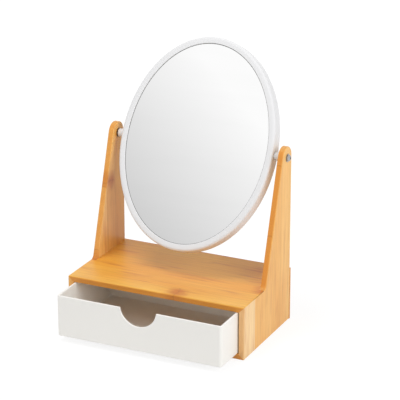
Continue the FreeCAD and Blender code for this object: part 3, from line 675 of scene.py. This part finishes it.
def trace(loops):
    """Extrudes the first of the loops, which is selected, through all the others."""
    for old, new in zip(loops, loops[1:]):
        next_loop(old, new)


def end_loops(closed):
    """Joins the last loop to the first, or caps it, and leaves the faces pointing out."""
    if not closed:
        bpy.ops.mesh.edge_face_add()
    bpy.ops.mesh.select_all(action="SELECT")
    bpy.ops.mesh.remove_doubles(threshold=MERGE_DISTANCE)
    bpy.ops.mesh.normals_make_consistent(inside=False)
    bpy.ops.object.mode_set(mode="OBJECT")


# %% [markdown]
# ### From a section to a finished piece
#
# A section is written as on a drawing, in millimetres: how far in from the outermost edge of the ring,
# and how far in front of the pivot. Its rounded edges are arcs. When a piece is traced it is stood up,
# leaned back and moved onto the pivot. Its place is then fixed in its mesh, because a pattern that
# reads the place of a point must not slide with the object.

# %% Section helpers
HALF_WIDTH = 0.0995
HALF_HEIGHT = 0.1300
MIRROR_TILT = 26.3
SMOOTH_ANGLE = 30


def oval_section(section):
    """Turns (inset, level) points in mm into loops of (half width, half height, level) in metres."""
    return [(HALF_WIDTH - inset / 1000, HALF_HEIGHT - inset / 1000, level / 1000)
            for inset, level in section]


def arc(centre_inset, centre_level, radius, start, end, steps):
    """Points on a rounded edge of the section. Angles are in degrees, 0 outward and 90 frontward."""
    points = []
    for step in range(steps + 1):
        angle = math.radians(start + (end - start) * step / steps)
        points.append((centre_inset - radius * math.cos(angle),
                       centre_level + radius * math.sin(angle)))
    return points


def set_down(piece, place, turn):
    """Turns and moves a piece, and fixes its place in its mesh."""
    pick_only(piece)
    piece.rotation_euler = turn
    piece.location = place
    bpy.ops.object.transform_apply(location=True, rotation=True, scale=True)


def onto_pivot(piece):
    """Stands a flat piece up on the pivot, with its top leaned back."""
    set_down(piece, pivot, (math.radians(90 - MIRROR_TILT), 0, 0))


def finish_piece(piece, node, materials):
    """Shades a finished piece and lets it stand for its node on the mirror."""
    pick_only(piece)
    bpy.ops.object.shade_smooth_by_angle(angle=math.radians(SMOOTH_ANGLE))
    for material in materials:
        piece.data.materials.append(material)
    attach(piece, "mirror")
    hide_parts(node)
    size = [round(value * 1000, 1) for value in piece.dimensions]
    print(piece.name, "is", size, "mm with", len(piece.data.polygons), "faces")


# %% [markdown]
# ## Mirror ring
#
# The ring is one moulding: a flat bezel with a big soft edge in front, a thin wall behind it that
# hides the glass, and inside each end of the tilt axis a boss that holds a brass insert. Its section is
# traced loop by loop. The bezel isn't quite flat: it is crowned by a tenth of a millimetre, as such
# mouldings are, which gives the light something to run along.

# %% Mirror ring
outer_edge = arc(3.0, 5.75, 3.0, 0, 82, 8)
crown = [(3.9, 8.75), (5.2, 8.74), (6.6, 8.66)]
inner_edge = arc(7.45, 8.0, 0.65, 90, 180, 5)
inner_wall = [(8.1, 7.25), (2.5, 7.25), (2.5, -8.75)]
rear_edge = arc(1.5, -7.25, 1.5, -90, 0, 6)
outer_wall = [(0.0, -3.0), (0.0, 2.0), (0.0, 5.75)]
loops = oval_section(outer_edge + crown + inner_edge + inner_wall + rear_edge + outer_wall)
ring = first_loop("oval_ring", *loops[0])
trace(loops)
end_loops(closed=True)
print("ring section has", len(loops), "loops")

# %% [markdown]
# ### Bosses and insert holes
#
# A boolean joins or cuts two closed shapes. Each boss is a short cylinder that starts inside the ring
# and ends in the middle of its wall. A hole as wide as the brass insert is cut into it from outside,
# and a shallow wider one gives the spacer a flat seat on the curved wall.

# %% Bosses and insert holes
BOSS_SIDES = 48
INSERT_RADIUS = 0.003
BOSS_WALL = 0.0015
BOSS_ENDS = (0.0894, 0.09825)
HOLE_FLOOR = 0.0914
SEAT_RADIUS = 0.00565
SEAT_LEVEL = 0.0994
PAST_RING = 0.105


def cylinder_on_axis(radius, inner, outer, side):
    """A cylinder on the tilt axis, from inner to outer along X, on the left or the right side."""
    deselect_all()
    bpy.ops.mesh.primitive_cylinder_add(
        vertices=BOSS_SIDES, radius=radius, depth=outer - inner,
        location=(side * (inner + outer) / 2, 0, 0), rotation=(0, math.radians(90), 0))
    return bpy.context.object


def combine(piece, other, operation):
    """Joins other to piece or cuts it from it, and removes other."""
    pick_only(piece)
    bpy.ops.object.modifier_add(type="BOOLEAN")
    modifier = piece.modifiers[-1]
    modifier.operation = operation
    modifier.solver = "EXACT"
    modifier.object = other
    bpy.ops.object.modifier_apply(modifier=modifier.name)
    bpy.data.objects.remove(other, do_unlink=True)


for side in (-1, 1):
    combine(ring, cylinder_on_axis(INSERT_RADIUS + BOSS_WALL, *BOSS_ENDS, side), "UNION")
    combine(ring, cylinder_on_axis(INSERT_RADIUS, HOLE_FLOOR, PAST_RING, side), "DIFFERENCE")
    combine(ring, cylinder_on_axis(SEAT_RADIUS, SEAT_LEVEL, PAST_RING, side), "DIFFERENCE")
onto_pivot(ring)
finish_piece(ring, "mirror_ring", [ring_plastic])

# %% [markdown]
# ## Mirror glass
#
# The glass lies behind the bezel, 1.5 mm back. Round a real framed mirror there is a thin dark line,
# because near its edge one looks under the bezel and sees its dark underside mirrored. Here that
# reflection is painted: the silvered face is a little smaller than the window, and the strip round it
# takes the grey of the painted back as painted shade. The glass rests on the bottom of the ring, so the
# painted strip is made widest at the top. The silvered face is the first oval, filled, and the strip,
# the ground edge and the painted back are extruded from it.

# %% Mirror glass
GLASS_LEVEL = 0.00725
# This shifts the silvered oval inside the painted shade strip, so that the strip is widest at the top.
PAINTED_SHADE_SHIFT = Vector((0, -0.00006, 0))
loops = [
    (0.0908, 0.1213, GLASS_LEVEL),
    (0.0962, 0.1267, GLASS_LEVEL),
    (0.0965, 0.1270, GLASS_LEVEL - 0.0003),
    (0.0965, 0.1270, GLASS_LEVEL - 0.0018),
    (0.0963, 0.1268, GLASS_LEVEL - 0.0020),
]
glass = first_loop("mirror_plate", *loops[0], filled=True)
bpy.ops.transform.translate(value=PAINTED_SHADE_SHIFT)
next_loop(loops[0], loops[1])
bpy.ops.transform.translate(value=-PAINTED_SHADE_SHIFT)
trace(loops[1:])
end_loops(closed=False)
many_sided = sum(len(face.vertices) > 4 for face in glass.data.polygons)
print("glass faces with more than four corners:", many_sided)

# %% [markdown]
# ### Silver in front, paint behind, painted shade round the silver
#
# One piece can carry two finishes when each face says which it takes. The silvered oval is the only
# many-sided face that points to the front, so it is found by that, while the piece still lies flat.
# All other faces take the grey paint, which on the thin strip round the silver is painted shade.

# %% Glass finishes
# Faces other than the silvered oval get the grey, which is painted shade on the strip in front.
for face in glass.data.polygons:
    is_silvered = len(face.vertices) > 4 and face.normal.z > 0.5
    face.material_index = 0 if is_silvered else 1
onto_pivot(glass)
finish_piece(glass, "mirror_glass", [mirror_silver, backing_paint_and_painted_shade])

# %% [markdown]
# ## Back cover
#
# A moulded oval plate closes the ring from behind. Inside it a rib presses the foam pad against the
# glass. Outside, a flat rim runs round a panel that is sunk by half a millimetre, which is how such a
# wide thin moulding is kept from showing its sink marks. The inner face is the first oval, and the
# loops go up and down the rib, out to the edge, round it, and in across the back.

# %% Back cover
rib = [(27.0, -6.25), (27.0, 3.75), (25.0, 3.75), (25.0, -6.25), (2.7, -6.25)]
cover_edge = arc(3.5, -7.95, 0.8, 0, -90, 5)
slope = [(8.6, -8.75), (9.2, -8.71), (9.9, -8.55), (10.5, -8.38), (11.2, -8.27), (12.0, -8.25)]
loops = oval_section(rib + cover_edge + slope)
cover = first_loop("back_cover", *loops[0], filled=True)
trace(loops)
end_loops(closed=False)
onto_pivot(cover)
finish_piece(cover, "mirror_back_cover", [ring_plastic])

# %% [markdown]
# ## Spacers
#
# A white plastic sleeve sits on each screw between the ring and the washer on the post. It could be a
# plain tube, but its rims would then look as sharp as cut paper. So it is traced with the same kind of
# loops, round ones this time, and both rims are eased so that they catch the light.

# %% Spacers
SPACER_RADIUS = 0.00525
SPACER_BORE = 0.00208
RIM_RADIUS = 0.0005
RIM_STEPS = 5
spacer_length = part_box("spacer_right")[1][0] - SEAT_LEVEL
angles = [math.radians(90 * step / RIM_STEPS) for step in range(RIM_STEPS + 1)]
rim = [(SPACER_RADIUS - RIM_RADIUS * (1 - math.sin(angle)), RIM_RADIUS * (1 - math.cos(angle)))
       for angle in angles]
near_rim = [(radius, radius, height) for radius, height in rim]
far_rim = [(radius, radius, spacer_length - height) for radius, height in reversed(rim)]
near_bore, far_bore = ((SPACER_BORE, SPACER_BORE, level) for level in (0.0, spacer_length))
loops = [near_bore, *near_rim, *far_rim, far_bore, near_bore]
for name, side in (("left", -1), ("right", 1)):
    sleeve = first_loop(f"sleeve_{name}", *loops[0])
    trace(loops)
    end_loops(closed=True)
    set_down(sleeve, pivot + Vector((side * SEAT_LEVEL, 0, 0)), (0, math.radians(90 * side), 0))
    finish_piece(sleeve, f"spacer_{name}", [ring_plastic])

# %% [markdown]
# ## Finishes on the other nodes
#
# The boards, the drawer, the screws, the washers, the brads, the inserts and the foam keep the shape
# they have in the frame. Each only needs its finish put in its material slots.

# %% Finishes on the other nodes
finishes = dict(board_finishes)
finishes["drawer_tray"] = drawer_plastic
finishes["mirror_foam_pad"] = foam
finishes["back_panel_brads"] = brad_steel
for side in ("left", "right"):
    finishes[f"pivot_screw_{side}"] = plated_steel
    finishes[f"outer_washer_{side}"] = plated_steel
    finishes[f"pivot_insert_{side}"] = insert_brass
    finishes[f"friction_washer_{side}"] = friction_rubber
for name, finish in finishes.items():
    for material_slot in nodes[name].material_slots:
        material_slot.material = finish
print("finished nodes:", len(finishes))

# %% [markdown]
# ## Camera
#
# The camera stands a good two metres away with a long lens, to the right of the object and above it,
# so that the uprights stay almost parallel. Its place is given from a point in the middle of the
# object: so far back, so far to the side, so far up.

# %% Camera
AZIMUTH = 25.36
ELEVATION = 20.26
LENS = 176.86
SENSOR_WIDTH = 36.0
MIDDLE = Vector((0, 0, 0.150))
STEP_BACK, STEP_RIGHT, STEP_UP = 2.32268, 0.02394, 0.00665


def directions(azimuth, elevation):
    """From the object to the camera, and the camera's right and up, for angles in degrees."""
    turn, rise = math.radians(azimuth), math.radians(elevation)
    back = Vector((math.sin(turn) * math.cos(rise), -math.cos(turn) * math.cos(rise), math.sin(rise)))
    right = Vector((math.cos(turn), math.sin(turn), 0))
    return back, right, back.cross(right)


back, right, up = directions(AZIMUTH, ELEVATION)
camera_data = bpy.data.cameras.new("camera")
camera_data.lens = LENS
camera_data.sensor_width = SENSOR_WIDTH
camera = bpy.data.objects.new("camera", camera_data)
bpy.context.scene.collection.objects.link(camera)
camera.matrix_world = (
    Matrix.Translation(MIDDLE + back * STEP_BACK + right * STEP_RIGHT + up * STEP_UP)
    @ Matrix((right, up, back)).transposed().to_4x4()
)
bpy.context.scene.camera = camera
print("the camera stands at", [round(value, 3) for value in camera.matrix_world.translation])

# %% [markdown]
# ## Room
#
# The light is that of a bright white studio, with an even fill from all round. The camera, and anything
# that mirrors or lets through the room, sees plain white, while the fill that reaches the object is
# weaker, so that white plastic stays a shade below white.

# %% World
FILL = 0.405
WHITE = (1, 1, 1, 1)


def sees_room(tree):
    """1 for rays that show the room itself: seen, mirrored or let through; 0 for scattered light."""
    path = add_node(tree, "ShaderNodeLightPath").outputs
    seen = calc(tree, "MAXIMUM", path["Is Camera Ray"], path["Is Glossy Ray"])
    return calc(tree, "MAXIMUM", seen, path["Is Transmission Ray"])


def two_faced(tree, lighting, shown):
    """Joins the shader that lights the object and the one that is seen."""
    inputs = {0: sees_room(tree), 1: lighting.outputs[0], 2: shown.outputs[0]}
    return add_node(tree, "ShaderNodeMixShader", inputs).outputs[0]


world = bpy.data.worlds.new("studio")
bpy.context.scene.world = world
tree = empty_tree(world)
fill = add_node(tree, "ShaderNodeBackground", {"Color": WHITE, "Strength": FILL})
white = add_node(tree, "ShaderNodeBackground", {"Color": WHITE, "Strength": 1.0})
add_node(tree, "ShaderNodeOutputWorld", {"Surface": two_faced(tree, fill, white)})
bpy.context.scene.view_settings.view_transform = "Standard"
print("fill light:", FILL)

# %% [markdown]
# ## Softboxes
#
# A large softbox high on the right is the main light. One overhead throws the mirror's shade on the
# shelf, a weaker one in front keeps the drawer's front white, and another lights the back. Glossy
# pieces don't mirror them: they mirror only the plain white room, as in a light tent.

# %% Softboxes
def softbox(name, place, aim, width, height, power):
    """A rectangular lamp that faces the point aim metres above the origin. Power is in watts."""
    lamp = bpy.data.lights.new(name, "AREA")
    lamp.shape = "RECTANGLE"
    lamp.size = width
    lamp.size_y = height
    lamp.energy = power
    light = bpy.data.objects.new(name, lamp)
    bpy.context.scene.collection.objects.link(light)
    light.location = place
    light.rotation_euler = (Vector(place) - Vector((0, 0, aim))).to_track_quat("Z", "Y").to_euler()
    light.visible_glossy = False
    print(name, "at", place)


softbox("overhead_softbox", (-0.35, -0.15, 1.5), aim=0.10, width=0.7, height=0.6, power=8.8)
softbox("right_softbox", (1.5, -0.45, 0.9), aim=0.10, width=1.2, height=1.2, power=15.2)
softbox("front_softbox", (-0.9, -1.5, 0.42), aim=0.10, width=1.2, height=0.5, power=4.6)
softbox("back_softbox", (-0.5, 1.9, 0.35), aim=0.15, width=1.2, height=0.6, power=3.5)

# %% [markdown]
# ## Floor
#
# The floor is treated as the room is. It glows towards the camera, and a little more further out, so
# that it melts into the white room. It also takes a little real light there, so the object's soft
# shadow still shows on it. To the object it is plain pale paper, which throws light up from below.

# %% Floor
FLOOR_SIZE = 12
PAPER = (0.80, 0.80, 0.80, 1)
SHADOW_PAPER = (0.22, 0.22, 0.22, 1)
GLOW_RISE = (0.15, 1.4)
GLOW_NEAR = 0.84
GLOW_FAR = 0.95


def studio_paper(name):
    """A material for the studio whose glow isn't sampled as a lamp; returns it and its empty tree."""
    paper = bpy.data.materials.new(name)
    paper.cycles.emission_sampling = "NONE"
    return paper, empty_tree(paper)


def studio_plane(name, size, paper):
    """A square sheet that lies on the origin."""
    deselect_all()
    bpy.ops.mesh.primitive_plane_add(size=size, location=CENTRE)
    bpy.context.object.name = name
    bpy.context.object.data.materials.append(paper)
    return bpy.context.object


def from_centre(tree, place):
    """How far a point of a sheet lies from the sheet's centre."""
    across = calc(tree, "MULTIPLY", place["Y"], place["Y"])
    return calc(tree, "SQRT", calc(tree, "MULTIPLY_ADD", place["X"], place["X"], across))


floor_paper, tree = studio_paper("floor_paper")
lit = add_node(tree, "ShaderNodeBsdfDiffuse", {"Color": PAPER})
veil = add_node(tree, "ShaderNodeBsdfDiffuse", {"Color": SHADOW_PAPER})
from_object = from_centre(tree, split(tree, object_place(tree)))
glow = add_node(tree, "ShaderNodeEmission", {
    "Color": WHITE, "Strength": ramp(tree, from_object, *GLOW_RISE, GLOW_NEAR, GLOW_FAR)})
pale = add_node(tree, "ShaderNodeAddShader", {0: veil.outputs[0], 1: glow.outputs[0]})
add_node(tree, "ShaderNodeOutputMaterial", {"Surface": two_faced(tree, lit, pale)})
floor = studio_plane("floor", FLOOR_SIZE, floor_paper)
print("floor:", FLOOR_SIZE, "m square")

# %% [markdown]
# ## A card for the mirror to look at
#
# A mirror in an all-white room looks like a hole. In a studio, a card with a soft grey gradient is hung
# where the mirror looks, and the same is done here. The place is found by mirroring the direction to
# the camera in the glass. Only mirrored rays see the card, and its grey fades to the room's white
# before it reaches its border.

# %% Studio card
CARD_SIZE = 2.4
CARD_DISTANCE = 0.8
GREY_ALONG_X, GREY_ALONG_Y = 0.464, 0.886
GREY_FALL = -1.466
GREY_IN_MIDDLE = 0.164
DEEPEST_GREY = 0.44
CARD_FADE = (0.35, 1.15)
mirror_normal = Vector((0, -math.cos(math.radians(MIRROR_TILT)), math.sin(math.radians(MIRROR_TILT))))
looks_towards = 2 * mirror_normal.dot(back) * mirror_normal - back
print("the mirror looks towards", [round(value, 3) for value in looks_towards])

card_paper, tree = studio_paper("card_paper")
place = split(tree, object_place(tree))
upward = calc(tree, "MULTIPLY_ADD", place["X"], GREY_ALONG_X,
              calc(tree, "MULTIPLY", place["Y"], GREY_ALONG_Y))
falling = calc(tree, "MULTIPLY_ADD", upward, GREY_FALL, GREY_IN_MIDDLE)
depth = calc(tree, "MINIMUM", calc(tree, "MAXIMUM", falling, 0.0), DEEPEST_GREY)
grey = calc(tree, "MULTIPLY", depth, ramp(tree, from_centre(tree, place), *CARD_FADE, 1.0, 0.0))
glow = add_node(tree, "ShaderNodeEmission", {
    "Color": WHITE, "Strength": calc(tree, "SUBTRACT", 1.0, grey)})
add_node(tree, "ShaderNodeOutputMaterial", {"Surface": glow.outputs[0]})

card = studio_plane("studio_card", CARD_SIZE, card_paper)
card.location = pivot + looks_towards * CARD_DISTANCE
card.rotation_euler = looks_towards.to_track_quat("Z", "Y").to_euler()
card.visible_camera = False
card.visible_diffuse = False
card.visible_transmission = False
card.visible_volume_scatter = False
card.visible_shadow = False
